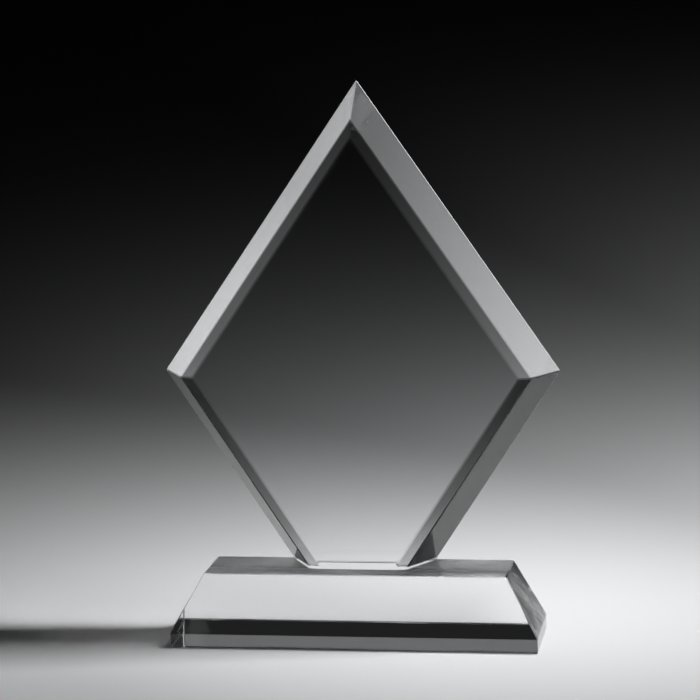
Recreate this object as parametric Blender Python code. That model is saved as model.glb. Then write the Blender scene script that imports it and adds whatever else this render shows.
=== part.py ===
"""Crystal diamond award: a bevelled glass plate bonded upright on a sloped glass base.

Units are metres and +Z is up. The origin is the centre of the base's underside. The front of
the award faces -Y and its width runs along X.
"""

import math

import bmesh
import bpy

# Base: a low block with an upright band below and four sloped sides above it. Its top sits
# towards the back, so that the front slopes more than the back.
BASE_LENGTH = 0.1316
BASE_DEPTH = 0.0386
BASE_HEIGHT = 0.0258
BAND_HEIGHT = 0.0055
TOP_LENGTH = 0.1086
TOP_DEPTH = 0.0288
TOP_SHIFT = 0.0023

# Joint: a cured film of clear adhesive between the base's top and the plate's foot.
JOINT_HEIGHT = 0.0003
FILM_CLEARANCE = 0.0001
FILM_SETBACK = 0.0002

# Plate: a rhombus cut off at its foot. Its back outline is the largest. The side walls taper
# towards the front, where a shallow bevel frames the flat front face.
PLATE_THICKNESS = 0.0190
PLATE_HALF_WIDTH = 0.0720
APEX_HEIGHT = 0.2000
CORNER_HEIGHT = 0.0952
FOOT_HALF_WIDTH = 0.0264
WALL_TAPER = 0.0074
FRONT_BEVEL_WIDTH = 0.0037
FRONT_BEVEL_DEPTH = 0.0012
PLATE_SETBACK = 0.0002

# Every ground edge of the glass has a narrow polished arris.
ARRIS = 0.00035

PLATE_BACK = TOP_SHIFT + TOP_DEPTH / 2 - PLATE_SETBACK
PLATE_FRONT = PLATE_BACK - PLATE_THICKNESS
BEVEL_START = PLATE_FRONT + FRONT_BEVEL_DEPTH
FACE_INSET = WALL_TAPER + FRONT_BEVEL_WIDTH
PLATE_FOOT = BASE_HEIGHT + JOINT_HEIGHT
UPPER_SLOPE = (APEX_HEIGHT - CORNER_HEIGHT) / PLATE_HALF_WIDTH
LOWER_SLOPE = (CORNER_HEIGHT - PLATE_FOOT) / (PLATE_HALF_WIDTH - FOOT_HALF_WIDTH)


def rectangle(length, depth, height, shift=0.0):
    """Return the corners of a level rectangle moved back by shift, anticlockwise from above."""
    x, front, back = length / 2, shift - depth / 2, shift + depth / 2
    return [(-x, front, height), (x, front, height), (x, back, height), (-x, back, height)]


def plate_outline(inset, y):
    """Return the plate's outline, each slanted side moved in by inset, in the plane at y.

    The five corners run clockwise seen from the front, starting at the left of the foot.
    """
    upper_drop = inset * math.hypot(1, UPPER_SLOPE)
    lower_rise = inset * math.hypot(1, LOWER_SLOPE)
    apex = APEX_HEIGHT - upper_drop
    corner_x = PLATE_HALF_WIDTH - (upper_drop + lower_rise) / (UPPER_SLOPE + LOWER_SLOPE)
    corner_z = apex - UPPER_SLOPE * corner_x
    foot_x = FOOT_HALF_WIDTH - lower_rise / LOWER_SLOPE
    return [
        (-foot_x, y, PLATE_FOOT),
        (-corner_x, y, corner_z),
        (0, y, apex),
        (corner_x, y, corner_z),
        (foot_x, y, PLATE_FOOT),
    ]


def film_outline(height):
    """Return the outline of the plate's foot at the given height, set back from its edges."""
    corners = []
    for inset, y in ((0, PLATE_BACK), (WALL_TAPER, BEVEL_START), (FACE_INSET, PLATE_FRONT)):
        corners.append((plate_outline(inset + FILM_SETBACK, y)[-1][0], y))
    corners[0] = (corners[0][0], PLATE_BACK - FILM_SETBACK)
    corners[-1] = (corners[-1][0], PLATE_FRONT + FILM_SETBACK)
    left = [(-x, y, height) for x, y in reversed(corners)]
    right = [(x, y, height) for x, y in corners]
    return right + left


def stack_mesh(name, outlines):
    """Return a closed mesh that joins outlines with equal corner counts and caps both ends."""
    bm = bmesh.new()
    rings = [[bm.verts.new(corner) for corner in outline] for outline in outlines]
    bm.faces.new(rings[0])
    bm.faces.new(rings[-1])
    for lower, upper in zip(rings, rings[1:]):
        for i in range(len(lower)):
            j = (i + 1) % len(lower)
            bm.faces.new((lower[i], lower[j], upper[j], upper[i]))
    bmesh.ops.recalc_face_normals(bm, faces=bm.faces)
    bmesh.ops.dissolve_limit(bm, angle_limit=math.radians(0.1), verts=bm.verts, edges=bm.edges)
    mesh = bpy.data.meshes.new(name)
    bm.to_mesh(mesh)
    bm.free()
    return mesh


def clear_material(name, color, roughness, ior):
    """Return a Principled material for a clear solid."""
    material = bpy.data.materials.new(name)
    material.use_nodes = True
    shader = material.node_tree.nodes["Principled BSDF"]
    shader.inputs["Base Color"].default_value = (*color, 1.0)
    shader.inputs["Roughness"].default_value = roughness
    shader.inputs["Metallic"].default_value = 0.0
    shader.inputs["IOR"].default_value = ior
    shader.inputs["Transmission Weight"].default_value = 1.0
    return material


def add_part(name, mesh, material, parent):
    """Put a mesh in the scene under the award's empty and return its object."""
    mesh.materials.append(material)
    part = bpy.data.objects.new(name, mesh)
    part.parent = parent
    bpy.context.scene.collection.objects.link(part)
    return part


def polish_edges(part):
    """Give every edge of a glass piece its narrow arris."""
    arris = part.modifiers.new("polished_arris", "BEVEL")
    arris.width = ARRIS
    arris.segments = 1
    arris.limit_method = "ANGLE"
    arris.angle_limit = math.radians(10)


def make_base(parent):
    """Make the sloped base, standing on its underside."""
    outlines = [
        rectangle(BASE_LENGTH, BASE_DEPTH, 0),
        rectangle(BASE_LENGTH, BASE_DEPTH, BAND_HEIGHT),
        rectangle(TOP_LENGTH, TOP_DEPTH, BASE_HEIGHT, TOP_SHIFT),
    ]
    glass = clear_material("base_glass", (0.93, 0.95, 0.96), 0.02, 1.52)
    polish_edges(add_part("crystal_base", stack_mesh("crystal_base", outlines), glass, parent))


def make_film(parent):
    """Make the thin film of adhesive under the plate's foot."""
    outlines = [
        film_outline(BASE_HEIGHT + FILM_CLEARANCE),
        film_outline(PLATE_FOOT - FILM_CLEARANCE),
    ]
    adhesive = clear_material("cured_adhesive", (0.94, 0.95, 0.94), 0.10, 1.50)
    add_part("adhesive_film", stack_mesh("adhesive_film", outlines), adhesive, parent)


def make_plate(parent):
    """Make the upright diamond plate with its tapered walls and bevelled front."""
    outlines = [
        plate_outline(0, PLATE_BACK),
        plate_outline(WALL_TAPER, BEVEL_START),
        plate_outline(FACE_INSET, PLATE_FRONT),
    ]
    glass = clear_material("plate_glass", (0.94, 0.96, 0.97), 0.02, 1.52)
    polish_edges(add_part("diamond_plate", stack_mesh("diamond_plate", outlines), glass, parent))


def main():
    """Build the award in an empty scene."""
    for old in list(bpy.data.objects):
        bpy.data.objects.remove(old, do_unlink=True)
    award = bpy.data.objects.new("award", None)
    bpy.context.scene.collection.objects.link(award)
    make_base(award)
    make_film(award)
    make_plate(award)


main()
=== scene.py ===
"""Looks of the crystal diamond award: polished optical glass on a pale studio floor.

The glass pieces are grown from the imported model's own meshes, so they follow its sizes. Each
is split into the surfaces that were worked differently: clear polished faces, finely ground
arrises, the base's ends and band, and the bonded joint.
"""
import math

import bmesh
import bpy
from mathutils import Matrix, Vector


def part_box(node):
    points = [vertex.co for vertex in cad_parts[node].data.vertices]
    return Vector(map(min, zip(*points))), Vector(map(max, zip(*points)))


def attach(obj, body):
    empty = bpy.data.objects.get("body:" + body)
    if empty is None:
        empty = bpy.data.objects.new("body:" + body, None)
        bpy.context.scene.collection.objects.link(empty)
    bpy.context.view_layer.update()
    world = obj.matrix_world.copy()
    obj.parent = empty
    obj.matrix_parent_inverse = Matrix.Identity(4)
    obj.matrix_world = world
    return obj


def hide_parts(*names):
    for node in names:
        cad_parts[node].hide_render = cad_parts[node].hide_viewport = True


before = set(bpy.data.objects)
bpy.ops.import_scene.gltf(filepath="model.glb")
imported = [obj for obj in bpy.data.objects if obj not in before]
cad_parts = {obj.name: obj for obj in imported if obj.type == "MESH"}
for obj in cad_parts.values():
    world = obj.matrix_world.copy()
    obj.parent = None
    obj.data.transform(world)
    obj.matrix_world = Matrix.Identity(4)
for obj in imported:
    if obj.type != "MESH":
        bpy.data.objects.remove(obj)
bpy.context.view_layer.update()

# Camera: a long lens in front, a little to the right and a little above.
LENS_MM = 156.256
SENSOR_MM = 36.0
CAMERA_DISTANCE = 1.0798
CAMERA_AZIMUTH = math.radians(8.424)
CAMERA_ELEVATION = math.radians(8.426)
CAMERA_ROLL = math.radians(-1.082)
AIM = Vector((-0.00165, 0.0, 0.10492))

# Studio
FLOOR_RADIUS = 30.0
FLOOR_DROP = 0.0001
FLOOR_COLOR = (0.80, 0.80, 0.80)
TOOTH_SCALE = 900
TOOTH_DEPTH = 0.00002
WORLD_COLOR = (0.0008, 0.0008, 0.0009, 1)
LAMP_SIZE = (0.12, 0.12)
KEY_SIZE = (0.06, 0.06)
LAMP_COLOR = (0.98, 0.99, 1.0)

# Glass: clear optical crystal. Noise scales are per metre, depths are in metres.
GLASS_IOR = 1.517
GLASS_COLOR = (0.985, 0.99, 0.995, 1.0)
SMEAR_SCALE = 28
SMEAR_ROUGHNESS = 0.045
HAIRLINE_SCALE = 700
HAIRLINE_DEPTH = 0.0000002
POLISH_WAVE = (45, 0.000012)
END_WAVE = (150, 0.0002)
BAND_WAVE = (1100, 0.00003)

# Ground edges, and the widest face that still counts as one.
SATIN_SCALE = 60
SATIN_ROUGHNESS = (0.08, 0.35)
GRIT_SCALE = 2500
GRIT_DEPTH = 0.000004
ARRIS_WIDTH = 0.0006
ARRIS_CLARITY = 0.62
ARRIS_COLOR = (0.78, 0.79, 0.80, 1.0)
RIM_WIDTH = 0.0007
ARRIS_ROUND = 0.00008
FOOT_TRIM = 0.0005
BAND_SHARE = 0.2
LEVEL = 1e-5

# Material slots after the first, which is the clear polish.
BONDED, ARRIS, END, BAND = range(1, 5)


def make_camera():
    """Point a long lens at the award from its front."""
    data = bpy.data.cameras.new("camera")
    data.lens = LENS_MM
    data.sensor_width = SENSOR_MM
    data.clip_start = 0.01
    data.clip_end = 100.0
    camera = bpy.data.objects.new("camera", data)
    away = Vector((
        math.sin(CAMERA_AZIMUTH) * math.cos(CAMERA_ELEVATION),
        -math.cos(CAMERA_AZIMUTH) * math.cos(CAMERA_ELEVATION),
        math.sin(CAMERA_ELEVATION),
    ))
    turn = (-away).to_track_quat("-Z", "Y").to_matrix().to_4x4()
    roll = Matrix.Rotation(CAMERA_ROLL, 4, "Z")
    camera.matrix_world = Matrix.Translation(AIM + away * CAMERA_DISTANCE) @ turn @ roll
    bpy.context.scene.collection.objects.link(camera)
    bpy.context.scene.camera = camera


def new_material(name):
    """Return a material with a Principled shader, its node tree and that shader."""
    material = bpy.data.materials.new(name)
    material.use_nodes = True
    tree = material.node_tree
    return material, tree, tree.nodes["Principled BSDF"]


def noise(tree, scale, detail, stretch=(1, 1, 1)):
    """Return the factor output of a noise in the object's own coordinates."""
    place = tree.nodes.new("ShaderNodeTexCoord")
    mapping = tree.nodes.new("ShaderNodeMapping")
    mapping.inputs["Scale"].default_value = stretch
    texture = tree.nodes.new("ShaderNodeTexNoise")
    texture.inputs["Scale"].default_value = scale
    texture.inputs["Detail"].default_value = detail
    tree.links.new(place.outputs["Object"], mapping.inputs["Vector"])
    tree.links.new(mapping.outputs["Vector"], texture.inputs["Vector"])
    return texture.outputs["Fac"]


def spread_to(tree, value, low, high, start=0.0, end=1.0):
    """Return value remapped from the range start to end onto the range low to high."""
    remap = tree.nodes.new("ShaderNodeMapRange")
    remap.inputs["From Min"].default_value = start
    remap.inputs["From Max"].default_value = end
    remap.inputs["To Min"].default_value = low
    remap.inputs["To Max"].default_value = high
    tree.links.new(value, remap.inputs["Value"])
    return remap.outputs["Result"]


def bump(tree, height, depth, below=None):
    """Return the normal output of a bump of the given depth in metres."""
    node = tree.nodes.new("ShaderNodeBump")
    node.inputs["Strength"].default_value = 1.0
    node.inputs["Distance"].default_value = depth
    tree.links.new(height, node.inputs["Height"])
    if below:
        tree.links.new(below, node.inputs["Normal"])
    return node.outputs["Normal"]


def floor_material():
    """Matt pale paper with a barely uneven tooth."""
    material, tree, shader = new_material("floor_paper")
    shader.inputs["Base Color"].default_value = (*FLOOR_COLOR, 1)
    shader.inputs["Roughness"].default_value = 0.9
    shader.inputs["Specular IOR Level"].default_value = 0.1
    tooth = bump(tree, noise(tree, TOOTH_SCALE, 2), TOOTH_DEPTH)
    tree.links.new(tooth, shader.inputs["Normal"])
    return material


def make_floor():
    """Lay a wide round floor just under the base."""
    bm = bmesh.new()
    bmesh.ops.create_circle(bm, cap_ends=True, segments=96, radius=FLOOR_RADIUS)
    mesh = bpy.data.meshes.new("floor")
    bm.to_mesh(mesh)
    bm.free()
    mesh.materials.append(floor_material())
    floor = bpy.data.objects.new("floor", mesh)
    floor.location.z = -FLOOR_DROP
    bpy.context.scene.collection.objects.link(floor)


def area_light(name, size, place, facing, power, spread=180.0):
    """Add a rectangular soft light that faces a compass heading and an angle below level."""
    heading, fall = (math.radians(angle) for angle in facing)
    data = bpy.data.lights.new(name, "AREA")
    data.shape = "RECTANGLE"
    data.size, data.size_y = size
    data.energy = power
    data.color = LAMP_COLOR
    data.spread = math.radians(spread)
    light = bpy.data.objects.new(name, data)
    light.location = place
    way = Vector((
        math.sin(heading) * math.cos(fall),
        math.cos(heading) * math.cos(fall),
        -math.sin(fall),
    ))
    light.rotation_euler = way.to_track_quat("-Z", "Y").to_euler()
    bpy.context.scene.collection.objects.link(light)
    return light


def make_lights():
    """Light the floor from lamps on the right, and the glass alone from two cards behind it.

    The two broad lamps are hidden from the glass, which would show them as white patches.
    """
    area_light("key_soft", KEY_SIZE, (0.18, 0.036, 0.355), (-92.5, 44.0), 0.44, spread=90.7)
    for lamp in (
        area_light("pool_soft", LAMP_SIZE, (0.147, -0.025, 0.457), (54.6, 36.4), 2.387, spread=157.3),
        area_light("far_soft", LAMP_SIZE, (0.453, -0.021, 0.899), (69.0, 9.2), 9.375, spread=171.5),
    ):
        lamp.visible_transmission = False
        lamp.visible_glossy = False
    for card in (
        area_light("back_card", (0.6, 0.17), (-0.235, 1.48, 0.385), (171.0, 14.0), 0.035),
        area_light("back_glow", (2.0, 0.9), (-0.25, 1.60, 0.80), (171.0, 24.0), 0.08),
    ):
        card.visible_diffuse = False
        card.visible_camera = False
    world = bpy.data.worlds.new("studio")
    bpy.context.scene.world = world
    world.use_nodes = True
    world.node_tree.nodes["Background"].inputs["Color"].default_value = WORLD_COLOR


def glass_material(name, wave, stretch=(1, 1, 1)):
    """Clear polished crystal: a slow wave left by the polishing, faint smears and hairlines."""
    material, tree, shader = new_material(name)
    shader.inputs["Base Color"].default_value = GLASS_COLOR
    shader.inputs["IOR"].default_value = GLASS_IOR
    shader.inputs["Transmission Weight"].default_value = 1.0
    patches = noise(tree, SMEAR_SCALE, 3, (1, 1, 0.5))
    smears = spread_to(tree, patches, 0.0, SMEAR_ROUGHNESS, 0.5, 0.85)
    tree.links.new(smears, shader.inputs["Roughness"])
    scale, depth = wave
    slow = bump(tree, noise(tree, scale, 2, stretch), depth)
    hairlines = bump(tree, noise(tree, HAIRLINE_SCALE, 2, (1, 1, 0.04)), HAIRLINE_DEPTH, slow)
    tree.links.new(hairlines, shader.inputs["Normal"])
    return material


def arris_material():
    """Ground edges: part white, part clear, with a fine grit and an uneven satin."""
    material, tree, shader = new_material("ground_arris")
    shader.inputs["Base Color"].default_value = ARRIS_COLOR
    shader.inputs["IOR"].default_value = GLASS_IOR
    shader.inputs["Transmission Weight"].default_value = ARRIS_CLARITY
    satin = spread_to(tree, noise(tree, SATIN_SCALE, 3), *SATIN_ROUGHNESS, 0.35, 0.7)
    tree.links.new(satin, shader.inputs["Roughness"])
    grit = bump(tree, noise(tree, GRIT_SCALE, 2), GRIT_DEPTH)
    tree.links.new(grit, shader.inputs["Normal"])
    return material


def bond_material():
    """Light crosses a bonded face without bending, because adhesive and glass match."""
    material, tree, shader = new_material("bonded_face")
    clear = tree.nodes.new("ShaderNodeBsdfTransparent")
    tree.links.new(clear.outputs[0], tree.nodes["Material Output"].inputs["Surface"])
    tree.nodes.remove(shader)
    return material


def clean_solid(node):
    """Return a bmesh of a CAD node with welded corners and whole flat faces."""
    bm = bmesh.new()
    bm.from_mesh(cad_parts[node].data)
    bmesh.ops.remove_doubles(bm, verts=bm.verts, dist=2e-6)
    bmesh.ops.dissolve_limit(bm, angle_limit=math.radians(0.5), verts=bm.verts, edges=bm.edges)
    return bm


def is_level(face, height):
    """Say whether a face lies level at the given height."""
    return abs(face.normal.z) > 0.999 and abs(face.calc_center_median().z - height) < LEVEL


def square_foot(bm, height):
    """Trim the ground arris off the plate's foot, carry its sides straight down and close it."""
    everything = list(bm.verts) + list(bm.edges) + list(bm.faces)
    bmesh.ops.bisect_plane(
        bm, geom=everything, dist=1e-7, plane_co=(0, 0, height + FOOT_TRIM), plane_no=(0, 0, 1),
        clear_inner=True,
    )
    rim = [edge for edge in bm.edges if edge.is_boundary]
    grown = bmesh.ops.extrude_edge_only(bm, edges=rim)["geom"]
    for vert in grown:
        if isinstance(vert, bmesh.types.BMVert):
            vert.co.z = height
    foot_edges = [edge for edge in bm.edges if edge.is_boundary]
    bmesh.ops.contextual_create(bm, geom=foot_edges)
    bmesh.ops.recalc_face_normals(bm, faces=bm.faces)


def grind_rim(bm, back):
    """Cut a narrow strip along the back rim of the plate's walls and mark it as ground."""
    everything = list(bm.verts) + list(bm.edges) + list(bm.faces)
    start = back - RIM_WIDTH
    bmesh.ops.bisect_plane(bm, geom=everything, dist=1e-7, plane_co=(0, start, 0), plane_no=(0, 1, 0))
    for face in bm.faces:
        if face.calc_center_median().y > start and face.normal.y < 0.9 and face.normal.z > -0.99:
            face.material_index = ARRIS


def mark_arrises(bm):
    """Give the narrow ground edges their own material."""
    for face in bm.faces:
        longest = max(edge.calc_length() for edge in face.edges)
        if face.calc_area() / longest < ARRIS_WIDTH:
            face.material_index = ARRIS


def round_edges(bm, flat_height=None):
    """Ease every ridge between two facets, except those that lie in the bonded foot."""
    ridges = []
    for edge in bm.edges:
        if len(edge.link_faces) != 2 or edge.calc_face_angle(0) < math.radians(10):
            continue
        if flat_height is not None and all(v.co.z < flat_height + FOOT_TRIM / 2 for v in edge.verts):
            continue
        ridges.append(edge)
    bmesh.ops.bevel(
        bm, geom=ridges, offset=ARRIS_ROUND, segments=2, profile=0.5, affect="EDGES",
        clamp_overlap=True,
    )


def print_foot(bm, outline, height):
    """Cut the foot's outline into the base's top and mark the part inside it as bonded."""
    sides = []
    for start, end in zip(outline, outline[1:] + outline[:1]):
        side = Vector((end.y - start.y, start.x - end.x, 0)).normalized()
        sides.append((start, side))
        top = [face for face in bm.faces if is_level(face, height)]
        geom = set(top)
        for face in top:
            geom.update(face.edges)
            geom.update(face.verts)
        bmesh.ops.bisect_plane(bm, geom=list(geom), dist=1e-7, plane_co=start, plane_no=side)
    centre = sum(outline, Vector()) / len(outline)
    for face in bm.faces:
        if not is_level(face, height):
            continue
        spot = face.calc_center_median()
        if all((centre - start).dot(side) * (spot - start).xy.dot(side.xy) > 0 for start, side in sides):
            face.material_index = BONDED


def make_plate(materials):
    """Make the diamond plate and return the outline of its bonded foot."""
    foot_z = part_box("diamond_plate")[0].z
    bm = clean_solid("diamond_plate")
    square_foot(bm, foot_z)
    grind_rim(bm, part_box("diamond_plate")[1].y)
    foot = next(face for face in bm.faces if is_level(face, foot_z))
    foot.material_index = BONDED
    round_edges(bm, foot_z)
    foot = next(face for face in bm.faces if face.material_index == BONDED)
    outline = [vert.co.copy() for vert in foot.verts]
    finish_piece(bm, "plate_crystal", materials, "diamond_plate")
    return outline


def make_base(materials, outline):
    """Make the sloped base, with its worked ends and band and the bonded patch on its top."""
    low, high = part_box("crystal_base")
    band_top = low.z + BAND_SHARE * (high.z - low.z)
    bm = clean_solid("crystal_base")
    for face in bm.faces:
        middle = face.calc_center_median()
        if abs(face.normal.x) > 0.7:
            face.material_index = END
        elif abs(face.normal.y) > 0.99 and middle.z < band_top:
            face.material_index = BAND
    mark_arrises(bm)
    round_edges(bm)
    print_foot(bm, outline, high.z)
    finish_piece(bm, "base_crystal", materials, "crystal_base")


def make_film(materials, outline):
    """Fill the joint between the foot and the base's top with the clear adhesive."""
    bm = bmesh.new()
    top_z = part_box("crystal_base")[1].z
    low = [bm.verts.new((point.x, point.y, top_z)) for point in outline]
    high = [bm.verts.new(point) for point in outline]
    for ring in (low, high):
        bm.faces.new(ring).material_index = BONDED
    for i in range(len(low)):
        j = (i + 1) % len(low)
        bm.faces.new((low[i], low[j], high[j], high[i]))
    bmesh.ops.recalc_face_normals(bm, faces=bm.faces)
    finish_piece(bm, "bond_film", materials, "adhesive_film")


def finish_piece(bm, name, materials, node):
    """Turn a bmesh into a piece that stands for a CAD node."""
    mesh = bpy.data.meshes.new(name)
    bm.to_mesh(mesh)
    bm.free()
    for material in materials:
        mesh.materials.append(material)
    piece = bpy.data.objects.new(name, mesh)
    bpy.context.scene.collection.objects.link(piece)
    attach(piece, "root")
    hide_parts(node)


def make_award():
    """Make the plate, the base and the adhesive between them."""
    polished = glass_material("polished_crystal", POLISH_WAVE)
    bond = bond_material()
    arris = arris_material()
    end = glass_material("end_crystal", END_WAVE)
    band = glass_material("band_crystal", BAND_WAVE, (0.02, 1, 1))
    worked = (polished, bond, arris, end, band)
    outline = make_plate(worked)
    make_base(worked, outline)
    make_film(worked, outline)


def set_light_paths():
    """Let light pass through all the facets, and keep the tones plain."""
    scene = bpy.context.scene
    scene.view_settings.view_transform = "Standard"
    scene.cycles.max_bounces = 32
    scene.cycles.transmission_bounces = 32
    scene.cycles.glossy_bounces = 16
    scene.cycles.diffuse_bounces = 4
    scene.cycles.transparent_max_bounces = 32
    scene.cycles.sample_clamp_indirect = 0.0
    scene.cycles.use_denoising = True


make_camera()
make_floor()
make_lights()
make_award()
set_light_paths()
